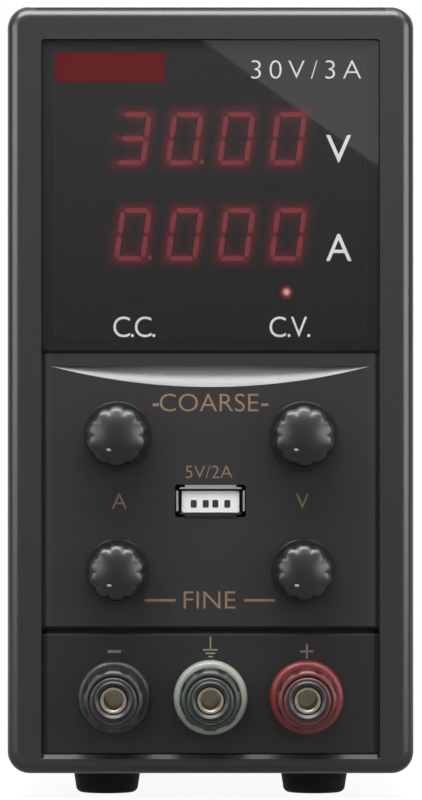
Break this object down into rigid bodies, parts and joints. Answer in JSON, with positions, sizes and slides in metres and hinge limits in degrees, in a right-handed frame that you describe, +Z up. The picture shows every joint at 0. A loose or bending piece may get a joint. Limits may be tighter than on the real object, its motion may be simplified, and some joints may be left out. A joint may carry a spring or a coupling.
{
  "type": "bench power supply",
  "caption": "Upright bench power supply with two LED read-outs, coarse and fine knobs for volts and amps, a USB charging port, banana binding posts and a fan-cooled steel case.",
  "frame": {"origin": "on the floor under the middle of the part's bounding box, which runs from the fronts of the binding posts to the mains inlet's drawer", "axes": "+Z up, +Y from the front panel to the rear panel, +X to the right when facing the front panel"},
  "size_m": [0.0848, 0.2183, 0.1654],
  "materials": {
    "bezel_plastic": "satin, finely textured",
    "smoked_window": "gloss, smoked",
    "control_plastic": "satin",
    "terminal_plastic": "satin",
    "painted_steel": "fine texture paint",
    "bare_steel": "zinc plated",
    "screw_steel": "zinc plated",
    "foot_rubber": "matte",
    "knob_plastic": "satin",
    "shaft_metal": "turned",
    "pot_metal": "stamped",
    "collar_black": "gloss",
    "collar_green": "gloss",
    "collar_red": "gloss",
    "cap_black": "gloss",
    "cap_green": "gloss",
    "cap_red": "gloss",
    "nickel": "nickel plated",
    "brass": "plain",
    "circuit_board": "solder mask",
    "display_face": "semi-gloss",
    "lamp_red": "clear tinted",
    "usb_steel": "nickel plated",
    "white_plastic": "satin",
    "contact_gold": "gold plated",
    "fan_plastic": "satin",
    "fitting_plastic": "satin",
    "fuse_glass": "clear",
    "slider_red": "satin",
    "ferrite": "matte ferrite under tape",
    "heatsink_aluminium": "extruded",
    "package_black": "moulded",
    "capacitor_sleeve": "sleeved can",
    "choke_winding": "enamelled wire on a ring core",
    "lead_sleeve": "PVC sleeve",
    "ribbon_grey": "PVC"
  },
  "bodies": {
    "case": {"front_bezel": "bezel_plastic", "display_window": "smoked_window", "control_panel": "control_plastic", "terminal_panel": "terminal_plastic", "top_cover": "painted_steel", "chassis_tray": "bare_steel", "rear_panel": "painted_steel", "case_screws": "screw_steel", "rubber_feet": "foot_rubber", "foot_screws": "screw_steel", "potentiometers": "pot_metal", "negative_collar": "collar_black", "ground_collar": "collar_green", "positive_collar": "collar_red", "negative_socket": "nickel", "ground_socket": "nickel", "positive_socket": "nickel", "post_nuts": "brass", "front_board": "circuit_board", "voltage_display": "display_face", "current_display": "display_face", "status_leds": "lamp_red", "usb_shell": "usb_steel", "usb_insert": "white_plastic", "usb_contacts": "contact_gold", "fan_frame": "fan_plastic", "fan_screws": "screw_steel", "inlet_housing": "fitting_plastic", "inlet_pins": "nickel", "switch_housing": "fitting_plastic", "selector_housing": "fitting_plastic", "main_board": "circuit_board", "board_standoffs": "brass", "transformer": "ferrite", "heatsinks": "heatsink_aluminium", "power_transistors": "package_black", "capacitors": "capacitor_sleeve", "chokes": "choke_winding", "output_leads": "lead_sleeve", "mains_leads": "lead_sleeve", "display_ribbon": "ribbon_grey"},
    "coarse_current_control": {"coarse_current_knob": "knob_plastic", "coarse_current_shaft": "shaft_metal"},
    "coarse_voltage_control": {"coarse_voltage_knob": "knob_plastic", "coarse_voltage_shaft": "shaft_metal"},
    "fine_current_control": {"fine_current_knob": "knob_plastic", "fine_current_shaft": "shaft_metal"},
    "fine_voltage_control": {"fine_voltage_knob": "knob_plastic", "fine_voltage_shaft": "shaft_metal"},
    "negative_clamp": {"negative_washer": "nickel"},
    "negative_thumb_nut": {"negative_cap": "cap_black"},
    "ground_clamp": {"ground_washer": "nickel"},
    "ground_thumb_nut": {"ground_cap": "cap_green"},
    "positive_clamp": {"positive_washer": "nickel"},
    "positive_thumb_nut": {"positive_cap": "cap_red"},
    "fan": {"fan_rotor": "fan_plastic"},
    "fuse_carrier": {"fuse_drawer": "fitting_plastic", "glass_fuse": "fuse_glass"},
    "power_rocker": {"switch_rocker": "fitting_plastic"},
    "voltage_selector": {"selector_slider": "slider_red"}
  },
  "joints": [
    {"name": "coarse_current_turn", "type": "hinge", "parent": "case", "child": "coarse_current_control", "pos_m": [-0.01939, -0.0951, 0.07577], "axis": [0, 1, 0], "range_deg": [0, 300]},
    {"name": "coarse_voltage_turn", "type": "hinge", "parent": "case", "child": "coarse_voltage_control", "pos_m": [0.01939, -0.0951, 0.07577], "axis": [0, 1, 0], "range_deg": [0, 300]},
    {"name": "fine_current_turn", "type": "hinge", "parent": "case", "child": "fine_current_control", "pos_m": [-0.01939, -0.0951, 0.04757], "axis": [0, 1, 0], "range_deg": [0, 300]},
    {"name": "fine_voltage_turn", "type": "hinge", "parent": "case", "child": "fine_voltage_control", "pos_m": [0.01939, -0.0951, 0.04757], "axis": [0, 1, 0], "range_deg": [0, 300]},
    {"name": "negative_clamp_slide", "type": "slide", "parent": "case", "child": "negative_clamp", "axis": [0, -1, 0], "range_m": [0, 0.004]},
    {"name": "negative_cap_turn", "type": "hinge", "parent": "negative_clamp", "child": "negative_thumb_nut", "pos_m": [-0.02002, -0.1091, 0.02134], "axis": [0, -1, 0], "range_deg": [0, 1801]},
    {"name": "ground_clamp_slide", "type": "slide", "parent": "case", "child": "ground_clamp", "axis": [0, -1, 0], "range_m": [0, 0.004]},
    {"name": "ground_cap_turn", "type": "hinge", "parent": "ground_clamp", "child": "ground_thumb_nut", "pos_m": [0, -0.1091, 0.02134], "axis": [0, -1, 0], "range_deg": [0, 1801]},
    {"name": "positive_clamp_slide", "type": "slide", "parent": "case", "child": "positive_clamp", "axis": [0, -1, 0], "range_m": [0, 0.004]},
    {"name": "positive_cap_turn", "type": "hinge", "parent": "positive_clamp", "child": "positive_thumb_nut", "pos_m": [0.02002, -0.1091, 0.02134], "axis": [0, -1, 0], "range_deg": [0, 1801]},
    {"name": "fan_spin", "type": "hinge", "parent": "case", "child": "fan", "pos_m": [0, 0.0949, 0.1234], "axis": [0, 1, 0], "continuous": true},
    {"name": "fuse_drawer_slide", "type": "slide", "parent": "case", "child": "fuse_carrier", "axis": [0, 1, 0], "range_m": [0, 0.022]},
    {"name": "power_rocker_tilt", "type": "hinge", "parent": "case", "child": "power_rocker", "pos_m": [-0.012, 0.1055, 0.0794], "axis": [0, 0, 1], "range_deg": [-18, 0]},
    {"name": "voltage_selector_slide", "type": "slide", "parent": "case", "child": "voltage_selector", "axis": [1, 0, 0], "range_m": [0, 0.004]}
  ],
  "couplings": [
    {"joint": "negative_cap_turn", "follows": "negative_clamp_slide", "rad_per_m": 7854},
    {"joint": "ground_cap_turn", "follows": "ground_clamp_slide", "rad_per_m": 7854},
    {"joint": "positive_cap_turn", "follows": "positive_clamp_slide", "rad_per_m": 7854}
  ]
}
